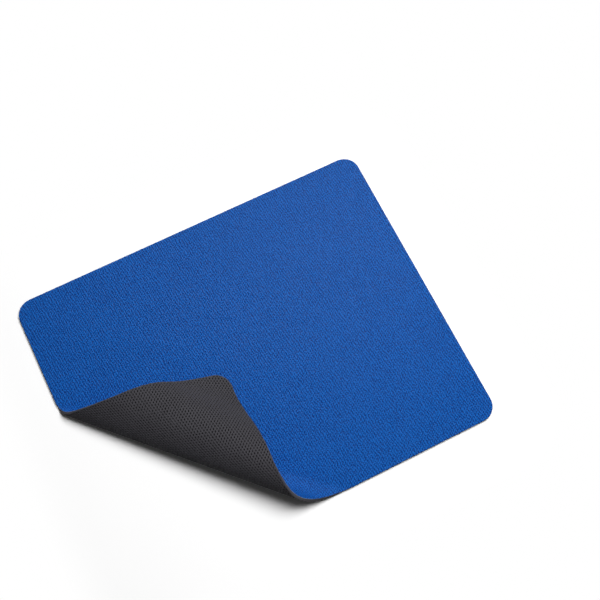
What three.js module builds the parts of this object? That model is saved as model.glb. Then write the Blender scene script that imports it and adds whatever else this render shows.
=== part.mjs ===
// Cloth-topped mouse pad with one corner peeled up and over.
//
// The pad is a laminate of three plies cut with one die: woven cloth on top, a bonding film, and a
// foamed rubber base. It lies flat on the desk apart from its near corner, which is peeled up and over so
// that the rubber underside shows. A sheet of this kind bends but does not stretch, so the peeled corner
// is a developable surface: the flat sheet is bent a little at each of a row of straight creases, which
// run from the short edge to the long edge and lie close together where the fold is tight.
//
// Millimetres, +Z up, +X along the long side. The origin is the middle of the pad, on the desk.

import * as THREE from 'three';

// Sheet
const LENGTH = 220;
const WIDTH = 180;
const CORNER_RADIUS = 9.5;
const RUBBER_THICKNESS = 1.5;
const FILM_THICKNESS = 0.1;
const CLOTH_THICKNESS = 0.4;

// Peeled corner: where the first crease meets the two edges, measured from the square corner
const FOLD_ON_SHORT_EDGE = 115.2;
const FOLD_ON_LONG_EDGE = 126.2;

// The creases meet the long edge at even steps, from the first crease to the corner. Each row is one step:
// the share of FOLD_ON_SHORT_EDGE at which that crease meets the short edge, and how many degrees the
// sheet has turned there. The corner rises in a wall, turns over at its crest and comes down to its tip.
const PEEL = [
  [1.000, 0],
  [0.977, 25],
  [0.955, 49],
  [0.926, 79],
  [0.864, 118],
  [0.635, 146],
  [0.477, 187],
  [0.397, 209],
  [0.344, 224],
  [0.319, 228],
  [0.288, 223],
  [0.178, 204],
  [0.000, 180],
];

// Facets
const CORNER_STEPS = 9;
const PEEL_STRIPS = 48;
const SNAP = 0.05;

const SHEET_THICKNESS = RUBBER_THICKNESS + FILM_THICKNESS + CLOTH_THICKNESS;
const radians = THREE.MathUtils.degToRad;

// The die's outline, counter-clockwise from above: a rectangle with four rounded corners.
function dieOutline() {
  const points = [];
  const across = LENGTH / 2 - CORNER_RADIUS;
  const along = WIDTH / 2 - CORNER_RADIUS;
  const centres = [[across, along], [-across, along], [-across, -along], [across, -along]];
  centres.forEach(([x, y], corner) => {
    for (let step = 0; step <= CORNER_STEPS; step += 1) {
      const angle = (corner + step / CORNER_STEPS) * Math.PI / 2;
      const point = new THREE.Vector2(Math.cos(angle), Math.sin(angle));
      points.push(point.multiplyScalar(CORNER_RADIUS).add(new THREE.Vector2(x, y)));
    }
  });
  return points;
}

// The peel between its rows, as a smooth curve: the shares of the fold left on the short edge and on the
// long edge, and the turn.
const corner = new THREE.Vector2(-LENGTH / 2, -WIDTH / 2);
const peelRows = PEEL.map(([left, turn], row) => (
  new THREE.Vector3(left, 1 - row / (PEEL.length - 1), turn)
));
const peel = new THREE.CatmullRomCurve3(peelRows, false, 'catmullrom');

// Creases where the sheet bends, from the first one toward the corner.
const creases = Array.from({ length: PEEL_STRIPS }, (_, strip) => {
  const left = peel.getPoint(strip / PEEL_STRIPS);
  const start = corner.clone().add(new THREE.Vector2(0, left.x * FOLD_ON_SHORT_EDGE));
  const end = corner.clone().add(new THREE.Vector2(left.y * FOLD_ON_LONG_EDGE, 0));
  const way = end.sub(start).normalize();
  const turn = radians(peel.getPoint((strip + 0.5) / PEEL_STRIPS).z);
  return { start, way, turn };
});

// Distance of a point of the flat sheet from a crease: negative on the side of the corner.
function side({ start, way }, point) {
  return way.cross(point.clone().sub(start));
}

// Each crease that reaches the outline crosses it twice. The crossings become points of the outline.
function creasedOutline() {
  let points = dieOutline().map((point) => ({ point, crease: -1 }));
  creases.forEach((line, crease) => {
    const next = [];
    points.forEach((a, i) => {
      const b = points[(i + 1) % points.length];
      next.push(a);
      const [fromA, fromB] = [side(line, a.point), side(line, b.point)];
      if (fromA * fromB >= 0) return;
      const point = a.point.clone().lerp(b.point, fromA / (fromA - fromB));
      const near = [a, b].find((end) => end.crease < 0 && end.point.distanceTo(point) < SNAP);
      if (near) {
        near.crease = crease;
      } else {
        next.push({ point, crease });
      }
    });
    points = next;
  });
  return points;
}

// The sheet in strips: the flat body first, then one strip after each crease. A point on a crease belongs
// to the strips on both sides of it.
function inStrip({ point, crease }, strip) {
  if (crease >= 0) return strip === crease || strip === crease + 1;
  return strip === creases.filter((line) => side(line, point) < 0).length;
}

const outline = creasedOutline();
const strips = Array.from({ length: creases.length + 1 }, (_, strip) => (
  outline.filter((p) => inStrip(p, strip))
));

// Bending: each strip is turned about its crease from where the strip before it lies.
function aboutCrease({ start, way }, turn) {
  const centre = new THREE.Vector3(start.x, start.y, 0);
  const turned = new THREE.Matrix4().makeRotationAxis(new THREE.Vector3(way.x, way.y, 0), -turn);
  const out = new THREE.Matrix4().makeTranslation(centre);
  return out.multiply(turned).multiply(new THREE.Matrix4().makeTranslation(centre.negate()));
}

const stripPlace = [new THREE.Matrix4()];
const creasePlace = [];
const creaseMitre = [];
creases.forEach((line, crease) => {
  const bend = line.turn - (crease > 0 ? creases[crease - 1].turn : 0);
  creasePlace.push(stripPlace[crease].clone().multiply(aboutCrease(line, bend / 2)));
  creaseMitre.push(1 / Math.cos(bend / 2));
  stripPlace.push(stripPlace[crease].clone().multiply(aboutCrease(line, bend)));
});

// A point of the sheet at a height above its underside, bent into place. Points on a crease lie on the
// mitre between their two strips, so every ply keeps its thickness.
function place({ point, crease }, strip, height) {
  const flat = new THREE.Vector3(point.x, point.y, height);
  if (crease < 0) return flat.applyMatrix4(stripPlace[strip]);
  flat.z *= creaseMitre[crease];
  return flat.applyMatrix4(creasePlace[crease]);
}

// A strip is convex, so it is cut into triangles from one of its points: the one whose thinnest
// triangle is thickest.
function fan(points) {
  const count = points.length;
  let best = { area: -1, triangles: [] };
  points.forEach((_, first) => {
    const triangles = [];
    let area = Infinity;
    for (let k = 1; k + 1 < count; k += 1) {
      const triangle = [first, (first + k) % count, (first + k + 1) % count].map((n) => points[n]);
      const [a, b, c] = triangle.map((p) => p.point);
      area = Math.min(area, b.clone().sub(a).cross(c.clone().sub(a)));
      triangles.push(triangle);
    }
    if (area > best.area) best = { area, triangles };
  });
  return best.triangles;
}

// One ply: its upper and lower faces strip by strip, and a wall along the cut edge.
function ply(name, low, high, material) {
  const corners = [];
  strips.forEach((points, strip) => {
    if (points.length < 3) return;
    fan(points).forEach(([a, b, c]) => {
      corners.push(...[a, b, c].map((p) => place(p, strip, high)));
      corners.push(...[a, c, b].map((p) => place(p, strip, low)));
    });
    points.forEach((a, i) => {
      const b = points[(i + 1) % points.length];
      if (a.crease >= 0 && a.crease === b.crease) return;
      const [aLow, bLow] = [place(a, strip, low), place(b, strip, low)];
      const [aHigh, bHigh] = [place(a, strip, high), place(b, strip, high)];
      corners.push(aLow, bLow, bHigh, aLow, bHigh, aHigh);
    });
  });
  const geometry = new THREE.BufferGeometry().setFromPoints(corners);
  geometry.computeVertexNormals();
  const mesh = new THREE.Mesh(geometry, material);
  mesh.name = name;
  return mesh;
}

const rubber = new THREE.MeshStandardMaterial({ color: 0x333236, roughness: 0.85, metalness: 0 });
const film = new THREE.MeshStandardMaterial({ color: 0xb9bcc4, roughness: 0.6, metalness: 0 });
const cloth = new THREE.MeshStandardMaterial({ color: 0x1d55a2, roughness: 0.9, metalness: 0 });

const filmBottom = RUBBER_THICKNESS;
const clothBottom = RUBBER_THICKNESS + FILM_THICKNESS;

const pad = new THREE.Group();
pad.name = 'mouse_pad';
pad.add(ply('rubber_base', 0, filmBottom, rubber));
pad.add(ply('bonding_film', filmBottom, clothBottom, film));
pad.add(ply('top_fabric', clothBottom, SHEET_THICKNESS, cloth));

export default pad;
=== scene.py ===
# %% [markdown]
# # A cloth mouse pad with one corner peeled back
# A basic mouse pad is a laminate: woven cloth on top, a thin bonding film, and a foamed rubber base with a
# moulded grip underneath. One die cuts all three plies at once. This lesson cuts the three plies flat,
# peels one corner of each of them in the same way, and gives each its own finish.
# The packed CAD model is loaded first. It fixes the size and the place of every piece.

# %% Load the frame
import bisect
import math

import bmesh
import bpy
from mathutils import Matrix, Vector
from mathutils.geometry import interpolate_bezier


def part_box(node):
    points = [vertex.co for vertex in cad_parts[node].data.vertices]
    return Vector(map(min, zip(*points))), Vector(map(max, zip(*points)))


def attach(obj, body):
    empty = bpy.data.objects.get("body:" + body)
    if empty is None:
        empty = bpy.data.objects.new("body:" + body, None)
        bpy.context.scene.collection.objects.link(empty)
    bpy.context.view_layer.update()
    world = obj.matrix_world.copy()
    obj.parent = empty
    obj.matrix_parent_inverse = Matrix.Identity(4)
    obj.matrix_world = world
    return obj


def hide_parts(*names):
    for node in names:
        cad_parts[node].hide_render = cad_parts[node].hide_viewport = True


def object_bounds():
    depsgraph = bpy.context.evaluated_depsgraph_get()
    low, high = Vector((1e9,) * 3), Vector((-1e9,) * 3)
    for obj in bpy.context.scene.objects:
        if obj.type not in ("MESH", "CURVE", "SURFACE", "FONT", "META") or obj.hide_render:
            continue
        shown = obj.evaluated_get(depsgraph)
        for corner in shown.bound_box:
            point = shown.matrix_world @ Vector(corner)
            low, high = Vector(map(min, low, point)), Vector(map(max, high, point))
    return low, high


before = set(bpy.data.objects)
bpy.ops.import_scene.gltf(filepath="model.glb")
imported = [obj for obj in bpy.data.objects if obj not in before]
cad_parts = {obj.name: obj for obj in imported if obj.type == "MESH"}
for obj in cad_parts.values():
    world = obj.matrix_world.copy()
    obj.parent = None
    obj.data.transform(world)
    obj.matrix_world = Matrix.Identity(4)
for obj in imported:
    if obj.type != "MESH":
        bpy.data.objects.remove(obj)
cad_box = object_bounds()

MM = 1e3
MM3 = MM ** 3


def in_mm(box):
    return [[round(value * MM, 1) for value in point] for point in box]


print("CAD nodes:", sorted(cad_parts))
print("CAD box in mm:", in_mm(cad_box))

# %% [markdown]
# ## The camera
# The pad is seen from above its peeled corner, about 20 degrees off straight down. A camera needs a place,
# a point to look at and a lens. A track quaternion turns it so that its -Z axis looks along the line of
# sight and its Y axis stays up. The lamps are aimed in the same way later.

# %% Camera
CAMERA_PLACE = Vector((-0.0503, -0.1620, 0.5879))
CAMERA_LOOKS_AT = Vector((0.0405, 0.0203, 0.0))
LENS = 64.08
SENSOR = 36
NEAR_CLIP = 0.01


def put_in_scene(name, data):
    """A new object in the scene that shows this data."""
    made = bpy.data.objects.new(name, data)
    bpy.context.scene.collection.objects.link(made)
    return made


def look_at(thing, place, target):
    """Put a camera or a lamp at a place, turned toward a target."""
    thing.location = place
    thing.rotation_euler = (target - place).to_track_quat("-Z", "Y").to_euler()


camera_data = bpy.data.cameras.new("camera")
camera_data.lens = LENS
camera_data.sensor_width = SENSOR
camera_data.clip_start = NEAR_CLIP
camera = put_in_scene("camera", camera_data)
look_at(camera, CAMERA_PLACE, CAMERA_LOOKS_AT)
bpy.context.scene.camera = camera
bpy.context.scene.view_settings.view_transform = "Standard"
print("camera", round((CAMERA_LOOKS_AT - CAMERA_PLACE).length, 3), "m from the pad")

# %% [markdown]
# ## Writing shader maths as plain expressions
# A material is a graph of nodes. Adding its nodes one by one hides what they work out, so a small class
# wraps one output socket and turns Python's operators into Math nodes. Every other node comes from one
# method, which takes the node's type, its settings and what goes into its sockets. A socket is given by its
# name, or by its number where other sockets of the node share the name.

# %% The Signal class
NOISE_MIDDLE = 0.5


class Signal:
    """A number, a vector, a colour or a shader on its way through one node tree."""

    def __init__(self, tree, socket=None):
        self.tree = tree
        self.socket = socket

    def node(self, kind, settings=None, inputs=None, output=0):
        made = self.tree.nodes.new(kind)
        for name, value in (settings or {}).items():
            setattr(made, name, value)
        for name, value in (inputs or {}).items():
            if isinstance(value, Signal):
                self.tree.links.new(value.socket, made.inputs[name])
            else:
                made.inputs[name].default_value = value
        return Signal(self.tree, made.outputs[output] if made.outputs else None)

    def beside(self, output):
        """Another output of the node that this signal comes from."""
        return Signal(self.tree, self.socket.node.outputs[output])

    def math(self, operation, *values):
        return self.node("ShaderNodeMath", {"operation": operation}, dict(enumerate(values)))

    def vector(self, operation, *values):
        return self.node("ShaderNodeVectorMath", {"operation": operation}, dict(enumerate(values)))

    def __add__(self, other):
        return self.math("ADD", self, other)

    def __sub__(self, other):
        return self.math("SUBTRACT", self, other)

    def __mul__(self, other):
        return self.math("MULTIPLY", self, other)

    def __radd__(self, other):
        return self.math("ADD", other, self)

    def __rsub__(self, other):
        return self.math("SUBTRACT", other, self)

    def __rmul__(self, other):
        return self.math("MULTIPLY", other, self)

    def sine(self):
        return self.math("SINE", self)

    def between(self, low, high):
        """0 below low, 1 above high, smooth from one to the other."""
        settings = {"interpolation_type": "SMOOTHSTEP"}
        return self.node("ShaderNodeMapRange", settings, {0: self, 1: low, 2: high})

    def blend(self, first, second):
        """The first colour where this signal is 0, the second where it is 1."""
        settings = {"data_type": "RGBA", "clamp_factor": True}
        return self.node("ShaderNodeMix", settings, {0: self, 6: first, 7: second}, output=2)

    def speckle(self, size, detail=2.0):
        """Random cloudy spots of about this size, in metres, around 0, laid out along this vector."""
        inputs = {"Vector": self, "Scale": 1 / size, "Detail": detail}
        return self.node("ShaderNodeTexNoise", {}, inputs) - NOISE_MIDDLE


print("operators:", [name for name in vars(Signal) if name.startswith("__r")])

# %% [markdown]
# ## The stage
# A plain white sweep with soft light. The pad lies on a floor that keeps its shadow. Camera rays see the
# floor as white, while the light that bounces off it comes from a dark grey, so the white floor adds little
# light to the pad. Away from the pad the floor fades to an even white.

# %% Floor
FLOOR_HALF = 3.0
FLOOR_DROP = 0.0002
WHITE = (1.0, 1.0, 1.0, 1.0)
FLOOR_SEEN = (1.13, 1.13, 1.13, 1.0)
FLOOR_BOUNCE = (0.10, 0.10, 0.10, 1.0)
SHADOW_REACH = (0.005, 0.035)

pad_half = Vector(cad_box[1])


def seen_directly(start):
    """1 on rays from the camera, and on those that come by way of a mirror or glass."""
    camera_ray = start.node("ShaderNodeLightPath", output="Is Camera Ray")
    glossy_ray = camera_ray.beside("Is Glossy Ray")
    clear_ray = camera_ray.beside("Is Transmission Ray")
    return start.math("MAXIMUM", camera_ray, start.math("MAXIMUM", glossy_ray, clear_ray))


def white_paper():
    """Matte white near the pad, where its shadow falls, and an even white farther away."""
    paper = bpy.data.materials.new("white_paper")
    paper.use_nodes = True
    paper.node_tree.nodes.clear()
    start = Signal(paper.node_tree)
    seen = seen_directly(start)
    matte = start.node("ShaderNodeBsdfDiffuse", {}, {"Color": seen.blend(FLOOR_BOUNCE, FLOOR_SEEN)})
    even = start.node("ShaderNodeEmission", {}, {"Color": WHITE, "Strength": 1.0})
    place = start.node("ShaderNodeTexCoord", output="Object")
    apart = start.vector("SUBTRACT", start.vector("ABSOLUTE", place), (pad_half.x, pad_half.y, 0))
    beside_pad = start.vector("MAXIMUM", apart, (0, 0, 0))
    distance = start.vector("LENGTH", beside_pad).beside("Value")
    far = distance.between(*SHADOW_REACH) * seen
    surface = start.node("ShaderNodeMixShader", {}, {0: far, 1: matte, 2: even})
    start.node("ShaderNodeOutputMaterial", {}, {"Surface": surface})
    return paper


floor_sheet = bmesh.new()
bmesh.ops.create_grid(floor_sheet, x_segments=1, y_segments=1, size=FLOOR_HALF)
bmesh.ops.translate(floor_sheet, verts=floor_sheet.verts[:], vec=(0, 0, -FLOOR_DROP))
floor_data = bpy.data.meshes.new("studio_floor")
floor_sheet.to_mesh(floor_data)
floor_sheet.free()
floor_data.materials.append(white_paper())
studio_floor = put_in_scene("studio_floor", floor_data)
print("floor:", 2 * FLOOR_HALF, "m square, staged")

# %% [markdown]
# ## The light
# One wide softbox hangs above the pad, to the right and behind it as the camera sees it, so the peeled
# corner throws a short soft shadow to the left and toward the camera. The room adds only a weak even light,
# because more of it would fill that shadow. A level is the share of full white that a lamp alone gives to a
# white card that faces it. Softbox and room come to about 1, so a colour renders about as it is written.
# Cloth has a soft sheen too. A small lamp behind the pad is there for the sheen to mirror, which makes the
# cloth paler toward the back. Of the two lamps only that one shows in reflections, and it lights nothing
# else, so that the sheen and the light can be set apart from each other.

# %% Softbox, sheen lamp and room
SOFTBOX_PLACE = Vector((0.38, 0.10, 1.07))
SOFTBOX_AIM = Vector((0.0, 0.0, 0.0))
SOFTBOX_SIZE = 0.61
SOFTBOX_LEVEL = 1.06
SHEEN_LAMP_PLACE = Vector((0.193, 0.234, 0.410))
SHEEN_LAMP_AIM = Vector((0.093, 0.072, 0.0))
SHEEN_LAMP_SIZE = 0.16
SHEEN_LAMP_LEVEL = 1.35
ROOM_LIGHT = (0.05, 0.05, 0.05, 1.0)


def hang_lamp(name, place, aim, size, level):
    """A square lamp that gives this share of full white to a white card at its aim."""
    data = bpy.data.lights.new(name, "AREA")
    data.size = size
    data.energy = level * math.pi ** 2 * (aim - place).length_squared
    lamp = put_in_scene(name, data)
    look_at(lamp, place, aim)
    return lamp


softbox = hang_lamp("softbox", SOFTBOX_PLACE, SOFTBOX_AIM, SOFTBOX_SIZE, SOFTBOX_LEVEL)
softbox.visible_glossy = False
sheen_lamp = hang_lamp(
    "sheen_lamp", SHEEN_LAMP_PLACE, SHEEN_LAMP_AIM, SHEEN_LAMP_SIZE, SHEEN_LAMP_LEVEL,
)
sheen_lamp.visible_diffuse = False
sheen_lamp.visible_camera = False

room = bpy.data.worlds.new("room")
room.use_nodes = True
room.node_tree.nodes.clear()
room_start = Signal(room.node_tree)
room_colour = seen_directly(room_start).blend(ROOM_LIGHT, WHITE)
room_light = room_start.node("ShaderNodeBackground", {}, {"Color": room_colour, "Strength": 1.0})
room_start.node("ShaderNodeOutputWorld", {}, {"Surface": room_light})
bpy.context.scene.world = room
for lamp in (softbox, sheen_lamp):
    print(lamp.name, round(lamp.data.energy, 2), "W")

# %% [markdown]
# ## The die
# A die is a steel blade bent to the pad's outline. It stamps a rectangle with four rounded corners through
# all the plies, so each ply starts as the same outline at its own height. One grid square, with its four
# vertices bevelled and its face extruded, gives that without a list of points.

# %% Cut a flat ply
LENGTH = 0.220
WIDTH = 0.180
CORNER_RADIUS = 0.0095
CORNER_STEPS = 10
RUBBER_TOP = 0.0015
FILM_TOP = 0.0016
CLOTH_TOP = 0.0020
HALF_UNIT = 0.5
SAME_HEIGHT = 1e-6
SHARP_ANGLE = math.radians(40)


def new_vertices(result):
    return [part for part in result["geom"] if isinstance(part, bmesh.types.BMVert)]


def cut_with_die(low, high):
    """A flat ply of the pad from one height to another."""
    ply = bmesh.new()
    bmesh.ops.create_grid(ply, x_segments=1, y_segments=1, size=HALF_UNIT)
    bmesh.ops.scale(ply, vec=(LENGTH, WIDTH, 1), verts=ply.verts[:])
    bmesh.ops.translate(ply, vec=(0, 0, low), verts=ply.verts[:])
    bmesh.ops.bevel(
        ply, geom=ply.verts[:], affect="VERTICES", offset=CORNER_RADIUS, offset_type="OFFSET",
        segments=CORNER_STEPS, profile=0.5, material=-1,
    )
    raised = bmesh.ops.extrude_face_region(ply, geom=ply.faces[:])
    bmesh.ops.translate(ply, vec=(0, 0, high - low), verts=new_vertices(raised))
    bmesh.ops.recalc_face_normals(ply, faces=ply.faces[:])
    return ply


def rim_edges(ply, height):
    """The edges at one height along which a flat face meets the cut edge."""
    return [
        edge for edge in ply.edges
        if all(abs(vertex.co.z - height) < SAME_HEIGHT for vertex in edge.verts)
        and edge.calc_face_angle(0) > SHARP_ANGLE
    ]


test_ply = cut_with_die(0, CLOTH_TOP)
print("one ply:", len(test_ply.verts), "vertices,", round(test_ply.calc_volume() * MM3), "mm3")
test_ply.free()

# %% [markdown]
# ## The peeled corner
# A laminate like this bends easily but does not stretch, so a peeled corner is a developable surface: the
# flat sheet is bent a little at each of many straight creases that run from the short edge to the long
# edge. They meet the long edge at even steps. Each row of PEEL is one step. It gives the share of the fold
# at which the crease meets the short edge, and how many degrees the sheet has turned there: the corner rises
# in a wall, turns over at its crest and comes down to its tip. Bezier curves between the rows make the turn
# smooth, with handles that are a sixth of the way between the rows on either side. One crease without a
# bend lies just outside the fold, so that smooth shading doesn't spread over the flat part.
# Cloth simulation could give a fold too, but not this one on demand. Turning a flat ply about its creases
# keeps every length true, and the three plies stay bonded because all of them turn about the same lines.

# %% The creases
FOLD_ON_SHORT_EDGE = 0.1152
FOLD_ON_LONG_EDGE = 0.1262
PEEL = [
    (1.000, 0), (0.977, 25), (0.955, 49), (0.926, 79), (0.864, 118), (0.635, 146), (0.477, 187),
    (0.397, 209), (0.344, 224), (0.319, 228), (0.288, 223), (0.178, 204), (0.000, 180),
]
CREASES_PER_ROW = 14
HANDLE_PARTS = 6
GUARD_SHARE = 1.005
UP = Vector((0, 0, 1))

corner = Vector((-LENGTH / 2, -WIDTH / 2, 0))


class Crease:
    """A straight line across the flat sheet, and how many degrees the sheet bends there."""

    def __init__(self, short_share, long_share, bend):
        self.start = corner + Vector((0, short_share * FOLD_ON_SHORT_EDGE, 0))
        end = corner + Vector((long_share * FOLD_ON_LONG_EDGE, 0, 0))
        self.way = (end - self.start).normalized()
        self.inward = UP.cross(self.way)
        self.bend = math.radians(bend)

    def side(self, place):
        """Distance of a point of the flat sheet from the crease, below 0 toward the corner."""
        return (place - self.start).dot(self.inward)


def smooth_peel():
    """Points on a smooth curve through the rows: the share on each edge, and the turn."""
    last = len(PEEL) - 1
    rows = [Vector((short_share, 1 - row / last, turn)) for row, (short_share, turn) in enumerate(PEEL)]
    chain = [2 * rows[0] - rows[1], *rows, 2 * rows[-1] - rows[-2]]
    points = []
    for before, start, end, after in zip(chain, chain[1:], chain[2:], chain[3:]):
        leave = start + (end - before) / HANDLE_PARTS
        arrive = end - (after - start) / HANDLE_PARTS
        points += interpolate_bezier(start, leave, arrive, end, 2 * CREASES_PER_ROW + 1)[:-1]
    return [*points, rows[-1]]


peel_curve = smooth_peel()
creases = [Crease(GUARD_SHARE, GUARD_SHARE, 0)]
for before, at, after in zip(peel_curve[0::2], peel_curve[1::2], peel_curve[2::2]):
    creases.append(Crease(at.x, at.y, after.z - before.z))
sharpest = max(math.degrees(crease.bend) for crease in creases)
print(len(creases), "creases, at most", round(sharpest, 2), "degrees each")

# %% [markdown]
# Two steps use the creases. Scoring cuts the flat faces along every crease, so that there are vertices
# where the sheet has to bend. A dictionary lists each edge and vertex for the cut once, and in order.
# Peeling then turns what lies beyond each crease, from the tip back to the first one: everything on the near
# side is still flat at that time, so each crease is a line in the flat sheet. What lies on a crease turns
# half as far, which mitres the ply there. Before the peel, each vertex keeps its place on the flat sheet in
# an attribute. The finishes read it later, so the weave and the grain follow the sheet round the fold.
# Extruding numbers its new faces in an order that changes from run to run, so a finished ply is numbered
# again by place. That leaves its shape as it is, and makes every run give the same mesh.

# %% Score and peel
CREASE_WIDTH = 1e-6
ON_CREASE = 0.5


def score(ply, faces):
    """Cut these flat faces along every crease."""
    for crease in creases:
        edges = dict.fromkeys(edge for face in faces for edge in face.edges)
        vertices = dict.fromkeys(vertex for face in faces for vertex in face.verts)
        cut = bmesh.ops.bisect_plane(
            ply, geom=[*vertices, *edges, *faces], dist=CREASE_WIDTH,
            plane_co=crease.start, plane_no=crease.inward,
        )
        faces = [part for part in cut["geom"] if isinstance(part, bmesh.types.BMFace)]


def reach(place):
    """How many creases a point of the flat sheet lies beyond, with a half for one that it lies on."""
    beyond = bisect.bisect_left(creases, -CREASE_WIDTH, key=lambda crease: crease.side(place))
    up_to = bisect.bisect_right(creases, CREASE_WIDTH, key=lambda crease: crease.side(place))
    return (beyond + up_to) / 2


def peel(ply):
    """Turn the corner back along the creases, from the tip inwards."""
    for edge in ply.edges:
        edge.smooth = edge.calc_face_angle(0) < SHARP_ANGLE
    for face in ply.faces:
        face.smooth = True
    flat_place = ply.verts.layers.float_vector.new("flat_place")
    for vertex in ply.verts:
        vertex[flat_place] = vertex.co
    outwards = sorted(ply.verts, key=lambda vertex: reach(vertex.co))
    reaches = [reach(vertex.co) for vertex in outwards]
    for number, crease in reversed(list(enumerate(creases))):
        on_crease = bisect.bisect_left(reaches, number + ON_CREASE)
        beyond = bisect.bisect_right(reaches, number + ON_CREASE)
        for vertices, share in ((outwards[on_crease:beyond], ON_CREASE), (outwards[beyond:], 1.0)):
            turned = Matrix.Rotation(-crease.bend * share, 3, crease.way)
            bmesh.ops.rotate(ply, cent=crease.start, matrix=turned, verts=vertices)


def number_by_place(parts, place):
    """Put a ply's vertices, edges or faces in the order of where they are."""
    for number, part in enumerate(sorted(parts, key=place)):
        part.index = number
    parts.sort()


def make_piece(ply, name, node):
    """Turn a peeled ply into the piece that stands for one CAD node."""
    number_by_place(ply.verts, lambda vertex: tuple(vertex.co))
    number_by_place(ply.edges, lambda edge: tuple(edge.verts[0].co + edge.verts[1].co))
    number_by_place(ply.faces, lambda face: tuple(face.calc_center_median()))
    data = bpy.data.meshes.new(name)
    triangles = sum(len(face.verts) - 2 for face in ply.faces)
    volume = ply.calc_volume(signed=True) * MM3
    ply.to_mesh(data)
    ply.free()
    piece = put_in_scene(name, data)
    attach(piece, "root")
    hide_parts(node)
    heights = [vertex.co.z * MM for vertex in data.vertices]
    low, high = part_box(node)
    print(f"{name}: {triangles} triangles, {volume:.0f} mm3,", end=" ")
    print(f"z {min(heights):.2f} to {max(heights):.2f} mm", end=" ")
    print(f"(CAD {low.z * MM:.2f} to {high.z * MM:.2f})")
    return piece


print("scoring and peeling are ready")

# %% [markdown]
# ## The cloth and the film
# The cloth is a thin polyester weave. The blade presses its upper rim down a little as it cuts, which a
# narrow bevel shows. The film below it is only a tenth of a millimetre thick and shows as a line along the
# cut edge. Both are cut, scored and peeled, and then stand for their CAD nodes.

# %% Mousing cloth
CLOTH_RIM = 0.0002
CLOTH_RIM_STEPS = 3

cloth_ply = cut_with_die(FILM_TOP, CLOTH_TOP)
bmesh.ops.bevel(
    cloth_ply, geom=rim_edges(cloth_ply, CLOTH_TOP), affect="EDGES", offset=CLOTH_RIM,
    offset_type="OFFSET", segments=CLOTH_RIM_STEPS, profile=0.5, material=-1,
)
score(cloth_ply, cloth_ply.faces[:])
peel(cloth_ply)
mousing_cloth = make_piece(cloth_ply, "mousing_cloth", "top_fabric")

# %% Glue film
film_ply = cut_with_die(RUBBER_TOP, FILM_TOP)
score(film_ply, film_ply.faces[:])
peel(film_ply)
glue_film = make_piece(film_ply, "glue_film", "bonding_film")

# %% [markdown]
# ## The rubber base
# The base is foamed rubber that is cast on a patterned belt, which leaves rows of small pits over the whole
# underside. They give the pad its grip, so they are modelled and not only painted on. A leaning grid is
# trimmed to the die's outline. Each cell is then inset, and its middle is pushed in. A cell that the blade
# left less than half of stays plain.

# %% Grip sheet
ROW_STEP = Vector((0.00165, -0.00048, 0))
PIT_STEP = Vector((0.00126, 0.00124, 0))
GRIP_CELLS = 220
PIT_RIM = 0.0002
PIT_DEPTH = 0.0007
PITTED_SHARE = 0.5
BLADE_CHAMFER = 0.0002

grip_lattice = Matrix((ROW_STEP, PIT_STEP, UP)).transposed()
whole_cell = grip_lattice.determinant()


def die_planes(margin):
    """A point and an outward direction for each straight stretch of the die's outline, less a margin."""
    planes = []
    for side in (-1, 1):
        planes.append((Vector((side * (LENGTH / 2 - margin), 0, 0)), Vector((side, 0, 0))))
        planes.append((Vector((0, side * (WIDTH / 2 - margin), 0)), Vector((0, side, 0))))
    half_step = math.pi / 4 / CORNER_STEPS
    radius = (CORNER_RADIUS - margin) * math.cos(half_step)
    across = LENGTH / 2 - CORNER_RADIUS
    along = WIDTH / 2 - CORNER_RADIUS
    for side_x, side_y in ((-1, -1), (-1, 1), (1, -1), (1, 1)):
        centre = Vector((side_x * across, side_y * along, 0))
        for step in range(CORNER_STEPS):
            angle = (2 * step + 1) * half_step
            outward = Vector((side_x * math.cos(angle), side_y * math.sin(angle), 0))
            planes.append((centre + outward * radius, outward))
    return planes


def grip_sheet():
    """A sheet of grip cells, trimmed to the outline, with its faces down."""
    sheet = bmesh.new()
    bmesh.ops.create_grid(sheet, x_segments=GRIP_CELLS, y_segments=GRIP_CELLS, size=GRIP_CELLS / 2)
    bmesh.ops.transform(sheet, matrix=grip_lattice.to_4x4(), verts=sheet.verts[:])
    for place, outward in die_planes(BLADE_CHAMFER):
        bmesh.ops.bisect_plane(
            sheet, geom=sheet.verts[:] + sheet.edges[:] + sheet.faces[:], plane_co=place,
            plane_no=outward, clear_outer=True,
        )
    bmesh.ops.reverse_faces(sheet, faces=sheet.faces[:])
    return sheet


rubber_ply = grip_sheet()
# The pit attribute marks the middle of each pit, where the finish paints shade and adds gloss.
pit = rubber_ply.verts.layers.float.new("pit")
cells = [face for face in rubber_ply.faces if face.calc_area() > PITTED_SHARE * whole_cell]
bmesh.ops.inset_individual(rubber_ply, faces=cells, thickness=PIT_RIM, use_even_offset=True)
dimples = bmesh.ops.poke(rubber_ply, faces=cells, offset=-PIT_DEPTH)
for vertex in dimples["verts"]:
    vertex[pit] = 1.0
deepest = max(vertex.co.z for vertex in rubber_ply.verts)
print(len(cells), "pits, to z", round(deepest * MM, 3), "mm")

# %% [markdown]
# The blade leaves a straight wall with a small chamfer at its foot. The sheet's boundary is extruded twice,
# first up and outward for the chamfer and then straight up for the wall, and the ring at the top is filled.
# Only that bonded face needs scoring, because the grip cells are small enough to follow the fold as they
# are.

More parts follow.
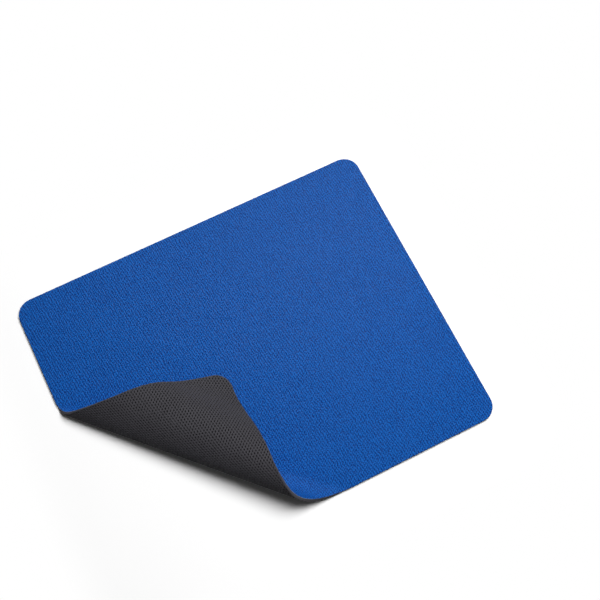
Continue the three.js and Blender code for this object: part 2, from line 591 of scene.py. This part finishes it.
# %% Cut edge and bonded face
def raise_edge(sheet, edges, rise, outward):
    """Carry the cut edge up by a height, and outward all round."""
    wall = bmesh.ops.extrude_edge_only(sheet, edges=edges)
    raised = new_vertices(wall)
    grown = Vector((1 + 2 * outward / LENGTH, 1 + 2 * outward / WIDTH, 1))
    bmesh.ops.scale(sheet, vec=grown, verts=raised)
    bmesh.ops.translate(sheet, vec=(0, 0, rise), verts=raised)
    rim = set(raised)
    return [
        part for part in wall["geom"]
        if isinstance(part, bmesh.types.BMEdge) and rim.issuperset(part.verts)
    ]


blade_edge = [edge for edge in rubber_ply.edges if edge.is_boundary]
wall_foot = raise_edge(rubber_ply, blade_edge, BLADE_CHAMFER, BLADE_CHAMFER)
wall_head = raise_edge(rubber_ply, wall_foot, RUBBER_TOP - BLADE_CHAMFER, 0)
bonded_face = bmesh.ops.edgeloop_fill(rubber_ply, edges=wall_head)["faces"]
bmesh.ops.recalc_face_normals(rubber_ply, faces=rubber_ply.faces[:])
score(rubber_ply, bonded_face)
peel(rubber_ply)
grip_base = make_piece(rubber_ply, "grip_base", "rubber_base")

# %% [markdown]
# ## The finishes
# Every finish starts from a Principled shader. What is the same all over a surface is set on the shader's
# own sockets. What changes over it, such as the yarn's colour, comes from expressions on the flat place.

# %% A finish to start from
HALF_WAY = 0.5


def start_finish(name, piece, **constants):
    """A new material on a piece: the signal of each point's place on the flat sheet, and the shader."""
    material = bpy.data.materials.new(name)
    material.use_nodes = True
    shader = material.node_tree.nodes["Principled BSDF"]
    for socket, value in constants.items():
        shader.inputs[socket.replace("_", " ")].default_value = value
    piece.data.materials.append(material)
    start = Signal(material.node_tree)
    place = start.node("ShaderNodeAttribute", {"attribute_name": "flat_place"}, output="Vector")
    return place, shader


def feed(shader, socket, signal):
    signal.tree.links.new(signal.socket, shader.inputs[socket])


def emboss(signal, depth, strength=1.0):
    inputs = {"Strength": strength, "Distance": depth, "Height": signal}
    return signal.node("ShaderNodeBump", {}, inputs)


print("finishes are ready")

# %% [markdown]
# ### Woven cloth
# The cloth is a fine twill. Its ribs run a little off the short side, about one and a half millimetres
# apart, and the cross yarns break them into short slanted dashes. Two sine waves over the flat place give
# ribs and dashes, and speckle shifts and roughens them so that no thread is ruler-straight. The yarn's shade
# and its height follow the same pattern. The cloth mirrors very little, just enough for its sheen.

# %% Cloth finish
RIB_WAVE = (4.15e3, 0.65e3)
DASH_WAVE = (-3.4e3, 4.3e3)
THREAD_DRIFT = 9.0
DRIFT_SIZE = 0.006
FIBRE_SIZE = 0.0007
FIBRE_DETAIL = 3.0
NAP_SIZE = 0.030
RIB_SHADE = 0.3
DASH_SHADE = 0.22
FIBRE_SHADE = 3.6
NAP_SHADE = 0.15
YARN_RELIEF = 0.00012
DEEP_BLUE = (0.0008, 0.030, 0.180, 1.0)
LIGHT_BLUE = (0.0080, 0.135, 0.545, 1.0)

place, shader = start_finish("woven_cloth", mousing_cloth, Roughness=0.4, Specular_IOR_Level=0.095)
x = place.node("ShaderNodeSeparateXYZ", {}, {0: place})
y = x.beside("Y")
drift = THREAD_DRIFT * place.speckle(DRIFT_SIZE)
rib = (x * RIB_WAVE[0] + y * RIB_WAVE[1] + drift).sine()
dash = (x * DASH_WAVE[0] + y * DASH_WAVE[1] + drift).sine()
fibre = place.speckle(FIBRE_SIZE, detail=FIBRE_DETAIL)
nap = place.speckle(NAP_SIZE)
yarn = HALF_WAY + RIB_SHADE * rib + DASH_SHADE * dash + FIBRE_SHADE * fibre + NAP_SHADE * nap
feed(shader, "Base Color", yarn.blend(DEEP_BLUE, LIGHT_BLUE))
feed(shader, "Normal", emboss(yarn, YARN_RELIEF))
rib_step = 2 * math.pi / math.hypot(*RIB_WAVE)
print("woven cloth:", round(rib_step * MM, 2), "mm between ribs")

# %% [markdown]
# ### Glue film
# Hot-melt film is a milky grey web. It is seen only on edge, so a soft mottle in tone and gloss is enough.

# %% Film finish
MOTTLE_SIZE = 0.0015
MOTTLE_DETAIL = 3.0
MOTTLE_SHADE = 1.6
FILM_ROUGHNESS = 0.6
MOTTLE_ROUGHNESS = 0.4
FILM_DARK = (0.20, 0.21, 0.24, 1.0)
FILM_LIGHT = (0.38, 0.40, 0.44, 1.0)

place, shader = start_finish("hot_melt_film", glue_film, Specular_IOR_Level=0.3)
mottle = place.speckle(MOTTLE_SIZE, detail=MOTTLE_DETAIL)
feed(shader, "Base Color", (HALF_WAY + MOTTLE_SHADE * mottle).blend(FILM_DARK, FILM_LIGHT))
feed(shader, "Roughness", FILM_ROUGHNESS + MOTTLE_ROUGHNESS * mottle)
print("hot-melt film: mottled grey")

# %% [markdown]
# ### Grip rubber
# The rubber is black with a hint of violet, matte, and finely grained between its pits. The pits stay a
# little glossier than the lands around them, and painted shade darkens each pit towards its middle, where
# shade falls. The cut edge is plain rubber with the same grain.

# %% Rubber finish
GRAIN_SIZE = 0.0007
GRAIN_DETAIL = 4.0
CLOUD_SIZE = 0.02
# How strongly painted shade darkens the middle of each pit.
PAINTED_PIT_SHADE = 1.1
GRAIN_SHADE = 1.1
CLOUD_SHADE = 0.3
LAND_ROUGHNESS = 0.72
PIT_GLOSS = 0.08
GRAIN_ROUGHNESS = 0.3
GRAIN_RELIEF = 0.0002
GRAIN_STRENGTH = 0.5
# Painted shade at the middle of a pit, and the rubber's own colour on the lands.
PAINTED_PIT_SHADE_BLACK = (0.0030, 0.0029, 0.0034, 1.0)
LAND_BLACK = (0.0675, 0.0655, 0.0745, 1.0)

place, shader = start_finish("grip_rubber", grip_base, Specular_IOR_Level=0.08)
pitted = place.node("ShaderNodeAttribute", {"attribute_name": "pit"}, output="Fac")
grain = place.speckle(GRAIN_SIZE, detail=GRAIN_DETAIL)
cloud = place.speckle(CLOUD_SIZE)
# Grain and cloud are the rubber's own tone; the pit term is painted shade in the pits.
grain_and_painted_pit_shade = 1.0 - PAINTED_PIT_SHADE * pitted + GRAIN_SHADE * grain + CLOUD_SHADE * cloud
feed(shader, "Base Color", grain_and_painted_pit_shade.blend(PAINTED_PIT_SHADE_BLACK, LAND_BLACK))
feed(shader, "Roughness", LAND_ROUGHNESS - PIT_GLOSS * pitted + GRAIN_ROUGHNESS * grain)
feed(shader, "Normal", emboss(grain, GRAIN_RELIEF, GRAIN_STRENGTH))
print("grip rubber: dark in its pits, grained between them")

# %% [markdown]
